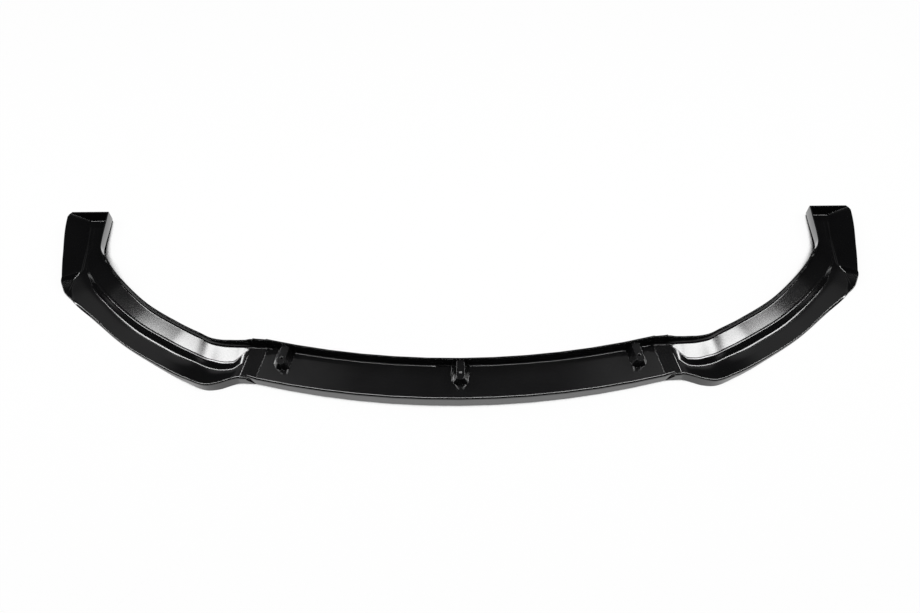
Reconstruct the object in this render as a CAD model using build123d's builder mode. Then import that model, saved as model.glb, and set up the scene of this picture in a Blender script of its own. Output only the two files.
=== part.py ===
from build123d import *

import os
from math import asin, ceil, cos, degrees, hypot, radians, sin, tan
from typing import NamedTuple

# Front splitter lip: three thin-walled mouldings that lap at two joints.
# X runs across the car, Y to the rear, Z up. It stands on its lower edges at Z = 0.

# Walls of all three mouldings
wall = 3.0
lap_clearance = 0.3

# Middle moulding: a Z-shaped section swept round a vertical axis
front_radius = 1720.0
plate_depth = 78.0
plate_height_middle = 29.0
plate_height_joint = 21.0
wall_top_middle = 57.0
wall_top_joint = 53.0
skirt_lean = 1.0
joint_angle = 14.35
wall_foot_bevel = 3.0
front_edge_setback = 5.0
middle_steps = 12

# Joggled flange at each end of the middle moulding, which laps over the side moulding
lap_heading = 4.0
lap_tilt = 3.0
joggle_step_run = 1.0
joggle_step_rise = 1.3
joggle_run = 20.0
lap_length = 15.0
lap_front_setback = 4.0
lap_wall_rise = 8.0
lap_wall_slant = 9.0
lap_end_gap = 0.6
joggle_lip_height = 9.0

# Screw bosses against the rear wall
boss_spacing = 365.0
boss_height = 24.0
boss_foot_width = 34.0
boss_foot_length = 46.0
boss_foot_radius = 11.0
boss_top_width = 16.0
boss_top_length = 44.0
boss_top_radius = 7.0
boss_hole_diameter = 6.5
boss_hole_from_front = 15.0

# Side mouldings: sizes of the stepped section
ledge_width = 40.0
ramp_run = 11.0
ramp_rise = 11.5
ledge_fall = 7.0
ridge_setback = 4.0
ramp_foot_setback = 9.0
blade_edge_setback = 5.0
bead_width = 5.5
bead_step_run = 1.0
bead_rise = 1.0
lapped_wall_top = 49.0
lapped_blade_drop = 0.2


class Station(NamedTuple):
    # Plan points are measured from the wall foot at the end of the middle moulding.
    inner: tuple
    edge: tuple
    blade: float
    wall_top: float
    tip_out: float
    tip_height: float
    dish: float = 0.0
    ledge: float = 1.0
    rise: float = 1.0
    fall: float = 1.0
    run: float = 1.0


# Where the ledge rises out of the plate, close to the joint
ledge_start = [
    Station((43, 0.8), (56, -72), 21.7, 49.0, 3.0, -2.0, 0.3, ledge=0.35, rise=0.25, fall=0.2, run=2.6),
    Station((51, -0.7), (63, -73), 22.2, 51.0, 4.0, -2.0, 1.2, ledge=0.62, rise=0.45, fall=0.4, run=1.8),
    Station((63, -2), (74, -76), 22.5, 53.0, 5.0, -2.0, 3.0, ledge=0.98, rise=0.62, fall=0.77, run=0.95),
]

# From the front corner round to the rear end
sweep_stations = [
    Station((83, -2), (96, -84.5), 24.0, 54.0, 4.0, -2.0, 5.0, ledge=1.035, rise=0.78, fall=0.9, run=0.9),
    Station((109, 1.8), (119, -88.5), 23.0, 53.5, 2.0, -2.0, 5.0, run=0.95),
    Station((143.2, 20.8), (171, -68.6), 15.5, 45.5, 1.0, -2.0, 3.5, run=0.95),
    Station((189.5, 46.9), (243, -28.2), 8.0, 40.5, 1.0, -2.0, -1.0),
    Station((266.5, 95.6), (326, 26.2), 5.2, 40.0, 1.0, -2.0, -1.0),
    Station((335, 159.6), (393, 85.6), 4.7, 38.0, 3.0, 0.5, ledge=1.08),
    Station((365, 194.6), (445, 134.6), 4.5, 37.0, 6.0, 4.0, ledge=1.09, rise=0.85, fall=0.7, run=1.15),
    Station((382, 220.6), (459, 161.6), 4.0, 36.0, 14.0, 11.5, ledge=1.07, rise=0.7, fall=0.5, run=1.2),
    Station((396, 236.6), (455, 186.6), 3.6, 35.0, 27.0, 20.5, ledge=0.97, rise=0.45, fall=0.3),
    Station((403, 258.6), (445, 213.6), 3.0, 33.0, 43.5, 28.0, ledge=1.12, rise=0.2, fall=0.1, run=0.6),
    Station((404, 293.6), (445, 263.6), 3.0, 33.0, 46.0, 32.0, ledge=0.95, rise=0.02, fall=0.01, run=0.45),
    Station((404, 352.6), (452, 352.6), 3.0, 33.0, 41.0, 33.0, ledge=0.95, rise=0.002, fall=0.002, run=0.4),
]
station_spacing = 26.0

# The largest share of a leg that one rounding may take
rounding_share = 0.48

# Derived places
side_setbacks = [0, 0, 0, 0, ridge_setback, ramp_foot_setback, blade_edge_setback]
middle_setbacks = [0, 0, front_edge_setback]
wall_radius = front_radius - plate_depth
lap_lift = wall + lap_clearance
lap_end = joggle_run + lap_length
lap_way = Vector(cos(radians(lap_heading)), sin(radians(lap_heading)), 0)
lap_lip_height = plate_height_joint + lap_lift - joggle_lip_height
joint_x = wall_radius * sin(radians(joint_angle))
joint_y = front_radius - wall_radius * cos(radians(joint_angle))
front_y = -(joint_y + sweep_stations[-1].inner[1] - skirt_lean) / 2
axis_y = front_y + front_radius
boss_angle = degrees(asin(boss_spacing / wall_radius))
# Lower edges are cut level from the front as far back as this station, where the tray begins.
tray_start = sweep_stations[8]
level_cut_size = 3000.0
level_cut_depth = 10.0


def crowned(middle, joint, angle):
    # Heights of the middle moulding are greatest in the middle and fall to the joints.
    return middle - (middle - joint) * (angle / joint_angle) ** 2


def plate_height(angle):
    return crowned(plate_height_middle, plate_height_joint, angle)


def radial_plane(angle):
    turn = radians(angle)
    outward = (sin(turn), -cos(turn), 0)
    return Plane(origin=(0, axis_y, 0), x_dir=outward, z_dir=(-cos(turn), -sin(turn), 0))


def lap_plane(distance):
    # The plane at the end of the middle moulding, moved outwards along the lap
    return Plane(Location(lap_way * distance) * radial_plane(joint_angle).location)


def lap_rise(distance):
    # The flange, and the plate under it, slope up away from the middle.
    return (distance - joggle_run) * tan(radians(lap_tilt))


def lap_wall_top(distance):
    return wall_top_joint + lap_wall_rise * distance / lap_end


def lap_side_plane(height):
    # An upright plane along the lap, at the wall foot
    origin = lap_plane(0).from_local_coords(Vector(wall_radius, height, 0))
    return Plane(origin=origin, x_dir=lap_way, z_dir=lap_way.cross(Vector(0, 0, 1)))


def plan_point(offset):
    return Vector(joint_x + offset[0], front_y + joint_y + offset[1])


def unit(start, end):
    length = hypot(end[0] - start[0], end[1] - start[1])
    return ((end[0] - start[0]) / length, (end[1] - start[1]) / length)


def moved(point, way, distance):
    return (point[0] + way[0] * distance, point[1] + way[1] * distance)


def fitted(setbacks, corners):
    # A rounding never takes more than its share of the shorter leg beside it.
    legs = [hypot(b[0] - a[0], b[1] - a[1]) for a, b in zip(corners, corners[1:])]
    shorter = [min(pair) for pair in zip(legs, legs[1:])]
    return [min(size, rounding_share * leg) for size, leg in zip(setbacks, shorter)]


def rounded_line(corners, setbacks):
    # Each bend is rounded by a curve that starts and ends one setback from its corner,
    # or left sharp where it has no setback.
    at = corners[0]
    for before, corner, after, setback in zip(corners, corners[1:], corners[2:], setbacks):
        if setback == 0:
            Line(at, corner)
            at = corner
            continue
        start = moved(corner, unit(corner, before), setback)
        end = moved(corner, unit(corner, after), setback)
        Line(at, start)
        Bezier(start, corner, end)
        at = end
    Line(at, corners[-1])


def shell_section(plane, corners, setbacks):
    # A wall of even thickness that lies right of a bent line, rounded on the line's side
    ways = [unit(a, b) for a, b in zip(corners, corners[1:])]
    rights = [(way[1], -way[0]) for way in ways]
    inside = [moved(corners[0], rights[0], wall)]
    for corner, before, after in zip(corners[1:], ways, ways[1:]):
        turn_sine = before[0] * after[1] - before[1] * after[0]
        turn_cosine = before[0] * after[0] + before[1] * after[1]
        along = moved(corner, before, wall * turn_sine / (1 + turn_cosine))
        inside.append(moved(along, (before[1], -before[0]), wall))
    inside.append(moved(corners[-1], rights[-1], wall))

    with BuildSketch(plane) as section:
        with BuildLine():
            rounded_line(corners, fitted(setbacks, corners))
            Polyline(*inside)
            Line(corners[0], inside[0])
            Line(corners[-1], inside[-1])
        make_face()
    return section.sketch


def wall_and_plate(back, wall_top, height):
    # Wall top, the bevel at its foot, and the plate's height
    return [
        (back, wall_top),
        (back, height + wall_foot_bevel),
        (back + wall_foot_bevel, height),
    ]


def middle_section(angle):
    height = plate_height(angle)
    corners = wall_and_plate(wall_radius, crowned(wall_top_middle, wall_top_joint, angle), height)
    corners += [(front_radius, height), (front_radius + skirt_lean, -skirt_lean)]
    return shell_section(radial_plane(angle), corners, middle_setbacks)


def joggle_section(distance, lift, front, skirt_foot):
    # The middle section raised by the lift, with its wall brought forward as much
    height = plate_height_joint + lift
    corners = wall_and_plate(wall_radius + lift, lap_wall_top(distance), height)
    corners += [(front, height), skirt_foot]
    return shell_section(lap_plane(distance), corners, middle_setbacks)


def joggle_sections():
    # A small sharp step, then a slope that runs the skirt out to a short lip
    full_foot = (front_radius + skirt_lean, -skirt_lean)
    lip_front = front_radius - lap_front_setback
    return [
        joggle_section(0, 0, front_radius, full_foot),
        joggle_section(joggle_step_run, joggle_step_rise, front_radius, full_foot),
        joggle_section(joggle_run, lap_lift, lip_front, (lip_front, lap_lip_height)),
    ]


def lap_section(distance):
    height = plate_height_joint + lap_lift + lap_rise(distance)
    corners = wall_and_plate(wall_radius + lap_lift, lap_wall_top(distance), height)
    corners += [(front_radius - lap_front_setback, height)]
    return shell_section(lap_plane(distance), corners, middle_setbacks[:2])


def boss_plane(angle, height):
    turn = radians(angle)
    origin = (wall_radius * sin(turn), axis_y - wall_radius * cos(turn), height)
    return Plane(origin=origin, x_dir=(cos(turn), sin(turn), 0), z_dir=(0, 0, 1))


def boss_outline(plane, width, length, radius, back):
    # Square where it runs into the rear wall, rounded at the front
    with BuildSketch(plane) as outline:
        with Locations((0, back)):
            Rectangle(width, length + back, align=(Align.CENTER, Align.MAX))
        fillet(outline.vertices().group_by(Axis.Y)[0], radius)
    return outline.sketch


def boss_sections(angle, foot, top, inset, back):
    # The drafted boss, or its hollow when every side is moved in by the wall
    return [
        boss_outline(
            boss_plane(angle, height),
            width - 2 * inset,
            length - inset,
            radius - inset,
            back,
        )
        for height, width, length, radius in (
            (foot, boss_foot_width, boss_foot_length, boss_foot_radius),
            (top, boss_top_width, boss_top_length, boss_top_radius),
        )
    ]


def flow(values, places, at):
    # A smooth curve through the values that never swings past them
    slopes = [(v1 - v0) / (p1 - p0) for v0, v1, p0, p1 in zip(values, values[1:], places, places[1:])]
    leans = [slopes[0]]
    for before, after in zip(slopes, slopes[1:]):
        leans.append(2 * before * after / (before + after) if before * after > 0 else 0.0)
    leans.append(slopes[-1])
    span = max(i for i, place in enumerate(places[:-1]) if place <= at)
    reach = places[span + 1] - places[span]
    t = (at - places[span]) / reach
    return (
        values[span] * (1 + 2 * t) * (1 - t) ** 2
        + values[span + 1] * t * t * (3 - 2 * t)
        + leans[span] * reach * t * (1 - t) ** 2
        - leans[span + 1] * reach * t * t * (1 - t)
    )


def flowing_stations(stations):
    # More stations between the given ones, every size flowing smoothly from one to the next
    places = [0.0]
    for here, there in zip(stations, stations[1:]):
        inner_step = hypot(there.inner[0] - here.inner[0], there.inner[1] - here.inner[1])
        edge_step = hypot(there.edge[0] - here.edge[0], there.edge[1] - here.edge[1])
        places.append(places[-1] + (inner_step + edge_step) / 2)
    rows = [station.inner + station.edge + station[2:] for station in stations]
    columns = list(zip(*rows))
    for first, last in zip(places, places[1:]):
        steps = ceil((last - first) / station_spacing)
        for step in range(steps):
            at = first + (last - first) * step / steps
            row = [flow(column, places, at) for column in columns]
            yield Station((row[0], row[1]), (row[2], row[3]), *row[4:])
    yield stations[-1]


def lapped_station(distance):
    # Under the flange the side moulding repeats the middle one's plate and wall, all but level.
    inner = lap_way * distance
    edge = inner + radial_plane(joint_angle).x_dir * plate_depth
    blade = plate_height_joint - lapped_blade_drop + lap_rise(distance)
    return Station(
        (inner.X, inner.Y),
        (edge.X, edge.Y),
        blade,
        lapped_wall_top,
        skirt_lean,
        -skirt_lean,
        ledge=0.25,
        rise=0.005,
        fall=0.005,
        run=3.1,
    )


def side_corners(station, length):
    # The wall and its foot, crease and bead along the ledge, ridge, ramp foot, blade edge and tip,
    # measured from the inner wall
    ridge_at = ledge_width * station.ledge
    ridge_height = station.blade - station.dish + ramp_rise * station.rise
    crease_at = ridge_at - bead_width * station.ledge
    bead_at = crease_at + bead_step_run * station.ledge

    def ledge_height(at):
        return ridge_height + ledge_fall * station.fall * (1 - at / ridge_at)

    return wall_and_plate(0, station.wall_top, ledge_height(0)) + [
        (crease_at, ledge_height(crease_at) - bead_rise * station.rise),
        (bead_at, ledge_height(bead_at)),
        (ridge_at, ridge_height),
        (ridge_at + ramp_run * station.run, station.blade - station.dish),
        (length, station.blade),
        (length + station.tip_out, station.tip_height),
    ]


def side_section(station):
    inner = plan_point(station.inner)
    edge = plan_point(station.edge)
    outward = (edge - inner).normalized()
    plane = Plane(origin=inner, x_dir=outward, z_dir=outward.cross(Vector(0, 0, 1)))
    corners = side_corners(station, (edge - inner).length)
    return shell_section(plane, corners, side_setbacks)


def ground():
    # All that lies ahead of the trays, in plan
    with BuildSketch(Plane.XY) as outline:
        with Locations((0, plan_point(tray_start.edge).Y)):
            Rectangle(level_cut_size, level_cut_size, align=(Align.CENTER, Align.MAX))
    return outline.sketch


os.makedirs("parts", exist_ok=True)

# Middle moulding
with BuildPart() as center_section:
    angles = [joint_angle * (2 * step / middle_steps - 1) for step in range(middle_steps + 1)]
    loft(sections=[middle_section(angle) for angle in angles], ruled=True)
    joggle = loft(sections=joggle_sections(), ruled=True)
    lap = loft(sections=[lap_section(joggle_run), lap_section(lap_end)], ruled=True)
    mirror([joggle, lap], about=Plane.YZ)

    # The end of each flange slants back above its wall foot
    slant_foot = plate_height_joint + lap_lift + lap_rise(lap_end) + wall_foot_bevel
    slant_rise = lap_wall_top(lap_end) - slant_foot
    with BuildSketch(lap_side_plane(slant_foot)):
        with BuildLine():
            Polyline(
                (lap_end, 0),
                (lap_end - 2 * lap_wall_slant, 2 * slant_rise),
                (lap_end + lap_wall_slant, 2 * slant_rise),
                (lap_end + lap_wall_slant, 0),
                close=True,
            )
        make_face()
    slant = extrude(amount=lap_lift + 2 * wall, both=True, mode=Mode.SUBTRACT)
    mirror(slant, about=Plane.YZ, mode=Mode.SUBTRACT)

    boss_angles = (-boss_angle, 0, boss_angle)
    for angle in boss_angles:
        foot = plate_height(angle)
        loft(sections=boss_sections(angle, foot - wall / 2, foot + boss_height, 0, wall / 2), ruled=True)
    for angle in boss_angles:
        foot = plate_height(angle)
        hollow = boss_sections(angle, foot - 2 * wall, foot + boss_height - wall, wall, 0)
        loft(sections=hollow, ruled=True, mode=Mode.SUBTRACT)
        with Locations(boss_plane(angle, foot + boss_height)):
            with Locations((0, boss_hole_from_front - boss_top_length)):
                Hole(boss_hole_diameter / 2, depth=2 * wall)

    # The lower edge is level with those of the side mouldings
    extrude(ground(), amount=-level_cut_depth, mode=Mode.SUBTRACT)

center_section.part.label = "center_section"
export_step(center_section.part, "parts/center_section.step")

# Right side moulding
with BuildPart() as right_side_section:
    first = lapped_station(joggle_step_run + lap_end_gap)
    stations = flowing_stations([lapped_station(lap_end)] + ledge_start + sweep_stations)
    loft(sections=[side_section(station) for station in [first, *stations]], ruled=True)

    # Ahead of the lap only the skirt is left, cut to the slope of the lip above it
    with BuildSketch(lap_side_plane(0)):
        with BuildLine():
            Polyline(
                (joggle_step_run + lap_end_gap, -skirt_lean),
                (joggle_run + lap_end_gap, lap_lip_height),
                (joggle_run + lap_end_gap, 2 * lapped_wall_top),
                (-joggle_run, 2 * lapped_wall_top),
                (-joggle_run, -skirt_lean),
                close=True,
            )
        make_face()
    radial_way = radial_plane(joint_angle).x_dir
    extrude(amount=2 * plate_depth, dir=radial_way, both=True, mode=Mode.SUBTRACT)

    # Rear end wall between the inner wall and the fin
    rear = sweep_stations[-1]
    floor_width = rear.edge[0] - rear.inner[0]
    rear_plane = Plane(origin=plan_point(rear.inner), x_dir=(1, 0, 0), z_dir=(0, -1, 0))
    with BuildSketch(rear_plane):
        with BuildLine():
            Polyline(
                (-wall / 2, rear.wall_top),
                (-wall / 2, wall / 2),
                (floor_width, wall / 2),
                (floor_width + rear.tip_out, rear.tip_height - wall / 2),
                (floor_width + rear.tip_out, rear.tip_height),
                close=True,
            )
        make_face()
    extrude(amount=wall)

    # The lower edges are level, to stand on the ground
    extrude(ground(), amount=-level_cut_depth, mode=Mode.SUBTRACT)

right_side_section.part.label = "right_side_section"
export_step(right_side_section.part, "parts/right_side_section.step")

# Left side moulding, the mirror image of the right one
with BuildPart() as left_side_section:
    mirror(right_side_section.part, about=Plane.YZ)

left_side_section.part.label = "left_side_section"
export_step(left_side_section.part, "parts/left_side_section.step")
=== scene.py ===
import math

import bmesh
import bpy
from mathutils import Euler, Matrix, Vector


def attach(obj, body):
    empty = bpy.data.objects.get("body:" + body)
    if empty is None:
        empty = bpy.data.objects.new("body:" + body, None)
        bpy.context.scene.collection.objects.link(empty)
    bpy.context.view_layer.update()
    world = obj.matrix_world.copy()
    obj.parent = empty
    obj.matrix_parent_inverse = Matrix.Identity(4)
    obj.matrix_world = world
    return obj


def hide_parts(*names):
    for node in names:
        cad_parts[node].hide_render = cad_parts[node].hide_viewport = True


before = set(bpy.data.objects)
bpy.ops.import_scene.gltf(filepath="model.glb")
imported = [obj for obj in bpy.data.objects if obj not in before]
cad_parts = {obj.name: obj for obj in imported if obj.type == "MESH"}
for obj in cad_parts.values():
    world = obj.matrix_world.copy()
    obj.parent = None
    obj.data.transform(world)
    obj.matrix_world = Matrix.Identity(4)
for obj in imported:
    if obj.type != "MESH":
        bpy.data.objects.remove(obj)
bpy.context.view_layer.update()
scene = bpy.context.scene
white = (1.0, 1.0, 1.0, 1.0)
print("frame loaded:", ", ".join(sorted(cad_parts)))


# shader maths: a wrapped socket, with operators that add Math nodes
class Wire:
    def __init__(self, tree, socket):
        self.tree = tree
        self.socket = socket

    def combine(self, operation, first, second):
        values = {"Value": first, "Value_001": second}
        return node(self.tree, "ShaderNodeMath", {"operation": operation}, values)["Value"]

    def __add__(self, other):
        return self.combine("ADD", self, other)

    def __radd__(self, other):
        return self.combine("ADD", other, self)

    def __sub__(self, other):
        return self.combine("SUBTRACT", self, other)

    def __rsub__(self, other):
        return self.combine("SUBTRACT", other, self)

    def __mul__(self, other):
        return self.combine("MULTIPLY", self, other)

    def __rmul__(self, other):
        return self.combine("MULTIPLY", other, self)

    def __truediv__(self, other):
        return self.combine("DIVIDE", self, other)

    def __rtruediv__(self, other):
        return self.combine("DIVIDE", other, self)

    def __abs__(self):
        return self.combine("ABSOLUTE", self, 0.0)

    def atLeast(self, other):
        return self.combine("MAXIMUM", self, other)


# any other node: settings first, then the values or links of its sockets
def node(tree, kind, settings=None, inputs=None):
    made = tree.nodes.new(kind)
    for name, value in (settings or {}).items():
        setattr(made, name, value)
    sockets = {socket.identifier: socket for socket in made.inputs}
    for key, value in (inputs or {}).items():
        if isinstance(value, Wire):
            tree.links.new(value.socket, sockets[key])
        else:
            sockets[key].default_value = value
    return {socket.identifier: Wire(tree, socket) for socket in made.outputs}


def emptyTree(owner):
    owner.use_nodes = True
    owner.node_tree.nodes.clear()
    return owner.node_tree


def addObject(name, data):
    made = bpy.data.objects.new(name, data)
    scene.collection.objects.link(made)
    return made


# black plastic as it leaves the mould: fine grain under a glossy skin, with faint clouds in the colour
plastic = {
    "dark": (0.0028, 0.0028, 0.0030, 1.0),
    "light": (0.0048, 0.0048, 0.0051, 1.0),
    "index": 1.6,
    "roughness": 0.12,
    "cloudRoughness": 0.05,
    "skinWeight": 0.4,
    "skinRoughness": 0.11,
    "cloudScale": 9.0,
    "cloudDetail": 3.0,
    "cloudShare": 0.6,
    "smearScale": 34.0,
    "smearDetail": 5.0,
    "grainScale": 1400.0,
    "grainDetail": 2.0,
    "grainDepth": 0.000003,
    "rippleScale": 26.0,
    "rippleDetail": 1.0,
    "rippleDepth": 0.00006,
}


def mouldedPlastic(name, offset):
    material = bpy.data.materials.new(name)
    tree = emptyTree(material)
    place = node(tree, "ShaderNodeTexCoord")["Object"]
    shift = {"Vector": place, "Location": (offset, 0.0, 0.0)}
    moved = node(tree, "ShaderNodeMapping", {}, shift)["Vector"]

    def noise(kind):
        values = {"Vector": moved, "Scale": plastic[kind + "Scale"], "Detail": plastic[kind + "Detail"]}
        return node(tree, "ShaderNodeTexNoise", {}, values)["Fac"]

    def bump(kind, under=None):
        values = {"Height": noise(kind), "Distance": plastic[kind + "Depth"], "Strength": 1.0}
        if under:
            values["Normal"] = under
        return node(tree, "ShaderNodeBump", {}, values)["Normal"]

    blotches = noise("cloud") * plastic["cloudShare"] + noise("smear") * (1 - plastic["cloudShare"])
    tones = {"Factor_Float": blotches, "A_Color": plastic["dark"], "B_Color": plastic["light"]}
    skin = {
        "Base Color": node(tree, "ShaderNodeMix", {"data_type": "RGBA"}, tones)["Result_Color"],
        "Roughness": plastic["roughness"] + blotches * plastic["cloudRoughness"],
        "Normal": bump("grain", bump("ripple")),
        "IOR": plastic["index"],
        "Coat Weight": plastic["skinWeight"],
        "Coat Roughness": plastic["skinRoughness"],
        "Coat IOR": plastic["index"],
    }
    shader = node(tree, "ShaderNodeBsdfPrincipled", {}, skin)["BSDF"]
    node(tree, "ShaderNodeOutputMaterial", {}, {"Surface": shader})
    return material


# shading: flats stay flat beside their rounded edges, because large faces rule
shading = {"smoothAngle": 50.0}


def applied(piece):
    shaped = piece.evaluated_get(bpy.context.evaluated_depsgraph_get())
    finished = bpy.data.meshes.new_from_object(shaped)
    piece.modifiers.clear()
    piece.data = finished
    finished.name = piece.name


def shaded(piece):
    piece.data.shade_smooth()
    piece.data.set_sharp_from_angle(angle=math.radians(shading["smoothAngle"]))
    weighted = piece.modifiers.new("shading", "WEIGHTED_NORMAL")
    weighted.mode = "FACE_AREA"
    weighted.keep_sharp = True
    applied(piece)


def meshPiece(name, shape):
    mesh = bpy.data.meshes.new(name)
    shape.to_mesh(mesh)
    shape.free()
    return addObject(name, mesh)


def finishPiece(piece, nodeName, offset):
    shaded(piece)
    piece.data.materials.clear()
    piece.data.materials.append(mouldedPlastic(piece.name + "Plastic", offset))
    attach(piece, "root")
    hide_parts(nodeName)
    print("moulding:", piece.name, len(piece.data.polygons), "faces")


# middle moulding: the solid, with softened edges, boss feet and flange ends
middle = {
    "mergeDistance": 0.00001,
    "flatAngle": 0.4,
    "edgeRadius": 0.0003,
    "edgeSegments": 2,
    "edgeAngle": 48.0,
    "bossFootRadius": 0.0022,
    "flangeEndRadius": 0.002,
    "roundSegments": 4,
    "roundProfile": 0.5,
    "longEdge": 0.02,
    "flangeReach": 0.43,
    "levelFace": 0.95,
    "steepFace": 0.5,
    "offset": 0.0,
}


def longEdges(shape):
    return [edge for edge in shape.edges if edge.calc_length() > middle["longEdge"]]


def bossFeet(shape):
    # hollow corners where a boss's flanks stand on the plate
    feet = []
    for edge in longEdges(shape):
        steep, flat = sorted(face.normal.z for face in edge.link_faces)
        standing = 0.0 < steep < middle["steepFace"] and flat > middle["levelFace"]
        if standing and not edge.is_convex:
            feet.append(edge)
    return feet


def flangeEnds(shape):
    # upper edges of the two lapped ends
    ends = []
    for edge in longEdges(shape):
        place = (edge.verts[0].co + edge.verts[1].co) / 2
        upward = max(face.normal.z for face in edge.link_faces)
        endways = max(abs(face.normal.x) for face in edge.link_faces)
        atEnd = abs(place.x) > middle["flangeReach"] and endways > middle["levelFace"]
        if atEnd and edge.is_convex and upward > middle["levelFace"]:
            ends.append(edge)
    return ends


def rounded(shape, edges, radius):
    values = {"segments": middle["roundSegments"], "profile": middle["roundProfile"]}
    bmesh.ops.bevel(shape, geom=edges, offset=radius, affect="EDGES", **values)


def middleMoulding():
    shape = bmesh.new()
    shape.from_mesh(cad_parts["center_section"].data)
    bmesh.ops.remove_doubles(shape, verts=shape.verts, dist=middle["mergeDistance"])
    flat = math.radians(middle["flatAngle"])
    bmesh.ops.dissolve_limit(shape, angle_limit=flat, verts=shape.verts, edges=shape.edges)
    rounded(shape, bossFeet(shape), middle["bossFootRadius"])
    rounded(shape, flangeEnds(shape), middle["flangeEndRadius"])
    piece = meshPiece("middleMoulding", shape)
    bevel = piece.modifiers.new("edges", "BEVEL")
    bevel.width = middle["edgeRadius"]
    bevel.segments = middle["edgeSegments"]
    bevel.limit_method = "ANGLE"
    bevel.angle_limit = math.radians(middle["edgeAngle"])
    bevel.use_clamp_overlap = False
    applied(piece)
    finishPiece(piece, "center_section", middle["offset"])
    return piece


middlePiece = middleMoulding()


# side mouldings: a stepped section swept in plan, in millimetres from the foot of the joint
side = {
    "perMetre": 1000.0,
    "jointPlace": (406.9607, -111.1846),
    "wall": 3.0,
    "wallFoot": 3.0,
    "ledgeWidth": 40.0,
    "ledgeFall": 7.0,
    "rampRun": 11.0,
    "rampRise": 11.5,
    "beadWidth": 5.5,
    "beadStep": 1.0,
    "beadRise": 1.0,
    "edgeRound": 0.5,
    "footRound": 2.0,
    "ridgeRound": 4.0,
    "rampFootRound": (4.0, 26.0),  # up the ramp, along the blade
    "bladeEdgeRound": 5.0,
    "roundShare": 0.48,
    "roundSteps": 6,
    "spacing": 6.0,
    "offsets": {"left": 3.1, "right": 7.4},
}

# each row: wall foot and blade edge in plan, blade height, wall top, reach and height of the tip,
# dish of the blade, and shares of ledge width, ramp rise, ledge fall and ramp run
lapStart = (20.55, 1.44, 39.88, -74.13, 20.83, 49.0, 1.0, -1.0, 0.0, 0.25, 0.005, 0.005, 3.1)
stations = [
    (34.91, 2.44, 54.25, -73.12, 21.59, 49.0, 1.0, -1.0, 0.0, 0.25, 0.005, 0.005, 3.1),
    (43.0, 0.8, 56.0, -72.0, 21.7, 49.0, 3.0, -2.0, 0.3, 0.35, 0.25, 0.2, 2.6),
    (51.0, -0.7, 63.0, -73.0, 22.2, 51.0, 4.0, -2.0, 1.2, 0.62, 0.45, 0.4, 1.8),
    (63.0, -2.0, 74.0, -76.0, 22.5, 53.0, 5.0, -2.0, 3.0, 0.98, 0.62, 0.77, 0.95),
    (83.0, -2.0, 96.0, -84.5, 24.0, 54.0, 4.0, -2.0, 5.0, 1.035, 0.78, 0.9, 0.9),
    (109.0, 1.8, 119.0, -88.5, 23.0, 53.5, 2.0, -2.0, 5.0, 1.0, 1.0, 1.0, 0.95),
    (143.2, 20.8, 171.0, -68.6, 15.5, 45.5, 1.0, -2.0, 3.5, 1.0, 1.0, 1.0, 0.95),
    (189.5, 46.9, 243.0, -28.2, 8.0, 40.5, 1.0, -2.0, -1.0, 1.0, 1.0, 1.0, 1.0),
    (266.5, 95.6, 326.0, 26.2, 5.2, 40.0, 1.0, -2.0, -1.0, 1.0, 1.0, 1.0, 1.0),
    (335.0, 159.6, 393.0, 85.6, 4.7, 38.0, 3.0, 0.5, 0.0, 1.08, 1.0, 1.0, 1.0),
    (365.0, 194.6, 445.0, 134.6, 4.5, 37.0, 6.0, 4.0, 0.0, 1.09, 0.85, 0.7, 1.15),
    (382.0, 220.6, 459.0, 161.6, 4.0, 36.0, 14.0, 11.5, 0.0, 1.07, 0.76, 0.5, 1.0),
    (396.0, 236.6, 455.0, 186.6, 3.6, 35.0, 27.0, 20.5, 0.0, 1.0, 0.64, 0.3, 0.8),
    (403.0, 258.6, 445.0, 213.6, 3.0, 33.0, 43.5, 28.0, 0.0, 1.1, 0.48, 0.15, 0.5),
    (404.0, 293.6, 445.0, 263.6, 3.0, 33.0, 46.0, 32.0, 0.0, 1.05, 0.22, 0.05, 0.3),
    (404.0, 344.6, 451.0, 342.6, 3.0, 33.0, 42.0, 33.0, 0.0, 0.95, 0.01, 0.01, 0.35),
    (404.0, 352.6, 452.0, 352.6, 3.0, 33.0, 33.0, 33.0, 0.0, 0.95, 0.002, 0.002, 0.4),
]

# the skirt's tongue below the lip of the joint: it runs along the lap and rises to its height there
tongue = {
    "start": 2.8,
    "end": 20.6,
    "height": 15.3,
    "lapHeading": 4.0,
    "radialHeading": -75.65,
    "reach": 79.0,
    "lean": 1.0,
    "steps": 6,
}


def flow(values, places, at):
    # a smooth curve through the values that never overshoots them
    slopes = [(b - a) / (q - p) for a, b, p, q in zip(values, values[1:], places, places[1:])]
    leans = [slopes[0]]
    for before, after in zip(slopes, slopes[1:]):
        leans.append(2 * before * after / (before + after) if before * after > 0 else 0.0)
    leans.append(slopes[-1])
    span = max(i for i, place in enumerate(places[:-1]) if place <= at)
    reach = places[span + 1] - places[span]
    t = (at - places[span]) / reach
    return (
        values[span] * (1 + 2 * t) * (1 - t) ** 2
        + values[span + 1] * t * t * (3 - 2 * t)
        + leans[span] * reach * t * (1 - t) ** 2
        - leans[span + 1] * reach * t * t * (1 - t)
    )


def flowingStations():
    places = [0.0]
    for here, there in zip(stations, stations[1:]):
        innerStep = math.dist(here[:2], there[:2])
        edgeStep = math.dist(here[2:4], there[2:4])
        places.append(places[-1] + (innerStep + edgeStep) / 2)
    columns = list(zip(*stations))
    rows = [lapStart]
    for first, last in zip(places, places[1:]):
        steps = math.ceil((last - first) / side["spacing"])
        for step in range(steps):
            at = first + (last - first) * step / steps
            rows.append([flow(column, places, at) for column in columns])
    return rows + [stations[-1]]


def toward(start, end, distance):
    return start + (end - start).normalized() * distance


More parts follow.
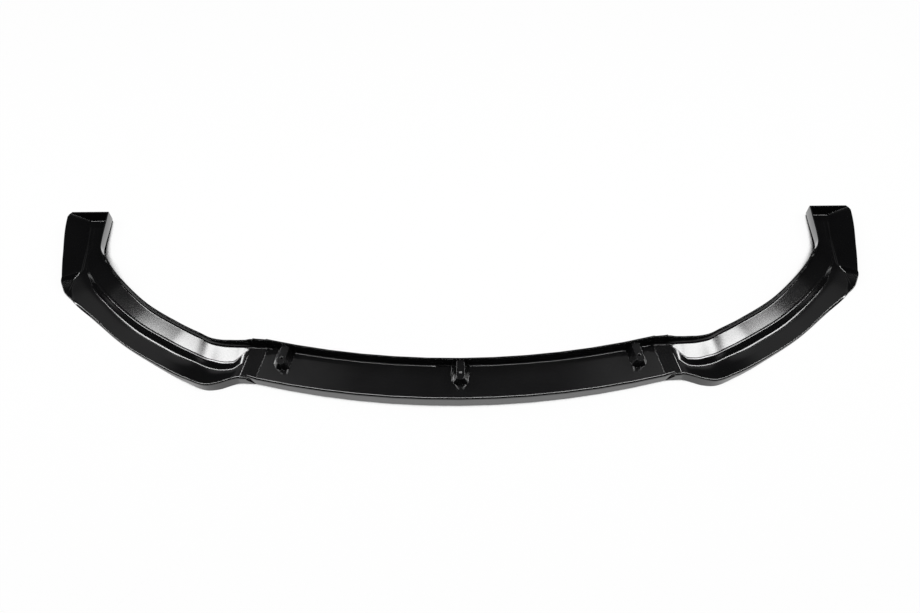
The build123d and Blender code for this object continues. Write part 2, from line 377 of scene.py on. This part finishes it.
def endOnFloor(upper, lower):
    # a leg that would run below the floor ends on it
    return upper.lerp(lower, upper.y / (upper.y - lower.y)) if lower.y < 0 else lower


def sideCorners(row, length):
    blade, wallTop, tipOut, tipHeight, dish, ledge, rise, fall, run = row[4:]
    ridgeAt = side["ledgeWidth"] * ledge
    ridgeHeight = blade - dish + side["rampRise"] * rise
    creaseAt = ridgeAt - side["beadWidth"] * ledge
    beadAt = creaseAt + side["beadStep"] * ledge
    foot = side["wallFoot"]

    def ledgeHeight(at):
        return ridgeHeight + side["ledgeFall"] * fall * (1 - at / ridgeAt)

    return [
        Vector(corner)
        for corner in (
            (0.0, wallTop),
            (0.0, ledgeHeight(0.0) + foot),
            (foot, ledgeHeight(0.0)),
            (creaseAt, ledgeHeight(creaseAt) - side["beadRise"] * rise),
            (beadAt, ledgeHeight(beadAt)),
            (ridgeAt, ridgeHeight),
            (ridgeAt + side["rampRun"] * run, blade - dish),
            (length, blade),
            (length + tipOut, tipHeight),
        )
    ]


def hiddenCorners(corners):
    # the underside: every leg moved in by the wall, and mitred
    ways = [(b - a).normalized() for a, b in zip(corners, corners[1:])]
    rights = [Vector((way.y, -way.x)) for way in ways]
    hidden = [corners[0] + rights[0] * side["wall"]]
    for corner, before, after in zip(corners[1:], rights, rights[1:]):
        hidden.append(corner + (before + after) * (side["wall"] / (1 + before.dot(after))))
    return hidden + [corners[-1] + rights[-1] * side["wall"]]


def roundedRing(corners, rounds):
    # a corner with a round becomes a short curve, within its share of the legs beside it
    ring = []
    count = len(corners)
    for index, (corner, size) in enumerate(zip(corners, rounds)):
        before, after = corners[index - 1], corners[(index + 1) % count]
        if not size:
            ring.append(corner)
            continue
        most = [side["roundShare"] * (other - corner).length for other in (before, after)]
        near, far = size if isinstance(size, tuple) else (min(size, *most),) * 2
        start = toward(corner, before, min(near, most[0]))
        end = toward(corner, after, min(far, most[1]))
        for step in range(side["roundSteps"] + 1):
            t = step / side["roundSteps"]
            ring.append(start * (1 - t) ** 2 + corner * (2 * t * (1 - t)) + end * t * t)
    return ring


def sectionRing(row):
    inner, edge = Vector(row[:2]), Vector(row[2:4])
    way = (edge - inner).normalized()
    corners = sideCorners(row, (edge - inner).length)
    hidden = hiddenCorners(corners)
    corners[-1] = endOnFloor(corners[-2], corners[-1])
    hidden[-1] = endOnFloor(hidden[-2], hidden[-1])
    small, foot = side["edgeRound"], side["footRound"]
    upper = [small, foot, foot, small, small]
    upper += [side["ridgeRound"], side["rampFootRound"], side["bladeEdgeRound"], small]
    lower = [small] + [0] * (len(hidden) - 2) + [small]
    ring = roundedRing(corners + hidden[::-1], upper + lower)
    return [(*(inner + way * point.x), point.y) for point in ring]


def heading(degrees):
    return Vector((math.cos(math.radians(degrees)), math.sin(math.radians(degrees))))


def tongueRings():
    lap, radial = heading(tongue["lapHeading"]), heading(tongue["radialHeading"])
    outer = tongue["reach"]
    inside = outer - side["wall"]
    rings = []
    for step in range(tongue["steps"] + 1):
        share = step / tongue["steps"]
        foot = lap * (tongue["start"] + (tongue["end"] - tongue["start"]) * share)
        top = tongue["height"] * share
        lean = tongue["lean"] * top / lapStart[4]
        section = [(outer, 0.0), (outer - lean, top), (inside - lean, top), (inside, 0.0)]
        rings.append([(*(foot + radial * across), height) for across, height in section])
    return rings


def rearWall():
    innerX, rearY, edgeX = stations[-1][:3]
    floor, wallTop, tipOut = stations[-1][4:7]
    half, foot = side["wall"] / 2, side["wallFoot"]

    def outline(y, top):
        outerX = edgeX + tipOut * (top - floor) / (wallTop - floor)
        innerSide = [(innerX - half, top), (innerX - half, half)]
        outerSide = [(edgeX, half), (outerX, top - half), (outerX, top)]
        return [(x, y, z) for x, z in innerSide + outerSide]

    front = rearY - side["wall"]
    rings = [outline(rearY, wallTop), outline(front, wallTop)]
    for step in range(side["roundSteps"] + 1):
        turn = math.pi / 2 * step / side["roundSteps"]
        rings.append(outline(front - foot * (1 - math.cos(turn)), floor + foot * (1 - math.sin(turn))))
    return rings


def addRings(shape, rings, mirrored):
    originX, originY = side["jointPlace"]
    perMetre = side["perMetre"]

    def place(x, y, z):
        return ((x + originX) * mirrored / perMetre, (y + originY) / perMetre, z / perMetre)

    made = [[shape.verts.new(place(*point)) for point in ring] for ring in rings]
    for here, there in zip(made, made[1:]):
        for index in range(len(here)):
            after = (index + 1) % len(here)
            shape.faces.new((here[index], here[after], there[after], there[index]))
    shape.faces.new(made[0])
    shape.faces.new(made[-1])


def sideMoulding(name, nodeName, mirrored, offset):
    shape = bmesh.new()
    for rings in ([sectionRing(row) for row in flowingStations()], tongueRings(), rearWall()):
        addRings(shape, rings, mirrored)
    bmesh.ops.recalc_face_normals(shape, faces=shape.faces)
    finishPiece(meshPiece(name, shape), nodeName, offset)


sideMoulding("leftMoulding", "left_side_section", -1, side["offsets"]["left"])
sideMoulding("rightMoulding", "right_side_section", 1, side["offsets"]["right"])


# floor and surroundings: white where they are seen, with a soft shadow on the floor, partly cast by the
# lamps and partly painted shade from ambient occlusion
studio = {
    "floorHalf": 30.0,
    "floorWhite": 0.86,
    "floorGlow": 0.90,
    "coverReach": 0.08,
    "covered": 0.49,
    "open": 0.55,
    "ambient": 0.30,
    "horizon": 0.08,
    "ceiling": 0.004,
    "window": (0.40, 0.50),
    "windowReach": (0.25, 0.32),
    "windowLevel": 0.24,
    "lowest": 0.05,
}


def paleFloor():
    half = studio["floorHalf"]
    corners = [(-half, -half, 0), (half, -half, 0), (half, half, 0), (-half, half, 0)]
    mesh = bpy.data.meshes.new("floor")
    mesh.from_pydata(corners, [], [(0, 1, 2, 3)])
    material = bpy.data.materials.new("paleFloor")
    tree = emptyTree(material)
    path = node(tree, "ShaderNodeLightPath")
    # under the part, camera rays see the floor darkened by ambient occlusion, so that holes and gaps look
    # deep: this is painted shade
    cover = node(tree, "ShaderNodeAmbientOcclusion", {}, {"Distance": studio["coverReach"]})["AO"]
    limits = {"Value": cover, "From Min": studio["covered"], "From Max": studio["open"]}
    uncovered = node(tree, "ShaderNodeMapRange", {"clamp": True}, limits)["Result"]
    seen = path["Is Camera Ray"] * uncovered
    share = seen.atLeast(path["Is Glossy Ray"]).atLeast(path["Is Transmission Ray"]) * studio["floorGlow"]
    # painted shade: where the floor is occluded, its diffuse colour is darkened for camera rays only
    shade = studio["floorWhite"] * (1 - path["Is Camera Ray"] * (1 - uncovered))
    lit = node(tree, "ShaderNodeBsdfDiffuse", {}, {"Color": shade})["BSDF"]
    glow = node(tree, "ShaderNodeEmission", {}, {"Color": white, "Strength": 1.0})["Emission"]
    mixed = {"Fac": share, "Shader": lit, "Shader_001": glow}
    surface = node(tree, "ShaderNodeMixShader", {}, mixed)["Shader"]
    node(tree, "ShaderNodeOutputMaterial", {}, {"Surface": surface})
    mesh.materials.append(material)
    addObject("floor", mesh)


def whiteSurroundings():
    world = bpy.data.worlds.new("surroundings")
    scene.world = world
    tree = emptyTree(world)
    path = node(tree, "ShaderNodeLightPath")
    way = node(tree, "ShaderNodeTexCoord")["Generated"]
    facing = node(tree, "ShaderNodeSeparateXYZ", {}, {"Vector": way})
    fade = {"Value": facing["Z"], "From Max": studio["horizon"], "To Min": 1.0, "To Max": studio["ceiling"]}
    room = node(tree, "ShaderNodeMapRange", {"clamp": True}, fade)["Result"]
    # a dim window high behind each side
    height = facing["Z"].atLeast(studio["lowest"])
    across = (abs(facing["X"]) / height - studio["window"][0]) / studio["windowReach"][0]
    along = (facing["Y"] / height - studio["window"][1]) / studio["windowReach"][1]
    rim = {"Value": across * across + along * along, "To Min": studio["windowLevel"], "To Max": 0.0}
    room = room + node(tree, "ShaderNodeMapRange", {"interpolation_type": "SMOOTHSTEP"}, rim)["Result"]
    seen = path["Is Camera Ray"].atLeast(path["Is Transmission Ray"])
    glossy = path["Is Glossy Ray"]
    strength = seen + (1 - seen) * (glossy * room + (1 - glossy) * studio["ambient"])
    light = {"Color": white, "Strength": strength}
    background = node(tree, "ShaderNodeBackground", {}, light)["Background"]
    node(tree, "ShaderNodeOutputWorld", {}, {"Surface": background})


paleFloor()
whiteSurroundings()
print("floor and surroundings made")


# soft boxes overhead, one above each side, which meet over the middle
softBox = {
    "reach": 1.65,
    "back": 0.215,
    "height": 2.5,
    "width": 3.3,
    "depth": 0.36,
    "turn": 8.5,
    "watts": 51.0,
}

# panels high behind the sides, for the small edges of the middle moulding alone
sidePanel = {
    "reach": 2.6,
    "back": 1.6,
    "height": 2.0,
    "width": 1.2,
    "depth": 1.2,
    "watts": 68.0,
}


def areaLamp(name, values, mirrored):
    data = bpy.data.lights.new(name, "AREA")
    data.shape = "RECTANGLE"
    data.size = values["width"]
    data.size_y = values["depth"]
    data.energy = values["watts"]
    lamp = addObject(name, data)
    lamp.location = (mirrored * values["reach"], values["back"], values["height"])
    return lamp


def softLight(name, mirrored):
    lamp = areaLamp(name, softBox, mirrored)
    lamp.rotation_euler = (0.0, 0.0, math.radians(mirrored * softBox["turn"]))


def edgeLight(name, mirrored, lit):
    lamp = areaLamp(name, sidePanel, mirrored)
    lamp.rotation_euler = (-lamp.location).to_track_quat("-Z", "Y").to_euler()
    lamp.light_linking.receiver_collection = lit


softLight("leftSoftBox", -1)
softLight("rightSoftBox", 1)
middleOnly = bpy.data.collections.new("middleOnly")
middleOnly.objects.link(middlePiece)
edgeLight("leftPanel", -1, middleOnly)
edgeLight("rightPanel", 1, middleOnly)
print("lights made")


# camera: in front of the car and well above it
view = {
    "tilt": 59.0,
    "roll": 0.50,
    "distance": 1.996,
    "target": (0.0, -0.0221, 0.0337),
    "focalPixels": 925.0,
    "imageWidth": 920.0,
    "farthest": 200.0,
}


def frontCamera():
    data = bpy.data.cameras.new("frontCamera")
    data.lens = view["focalPixels"] / view["imageWidth"] * data.sensor_width
    data.clip_end = view["farthest"]
    camera = addObject("frontCamera", data)
    tilt = math.radians(view["tilt"])
    back = Vector((0.0, -math.cos(tilt), math.sin(tilt)))
    camera.location = Vector(view["target"]) + back * view["distance"]
    facing = (-back).to_track_quat("-Z", "Y")
    rolled = Euler((0.0, 0.0, math.radians(-view["roll"]))).to_quaternion()
    camera.rotation_euler = (facing @ rolled).to_euler()
    scene.camera = camera


frontCamera()
scene.view_settings.view_transform = "Standard"
print("camera made")
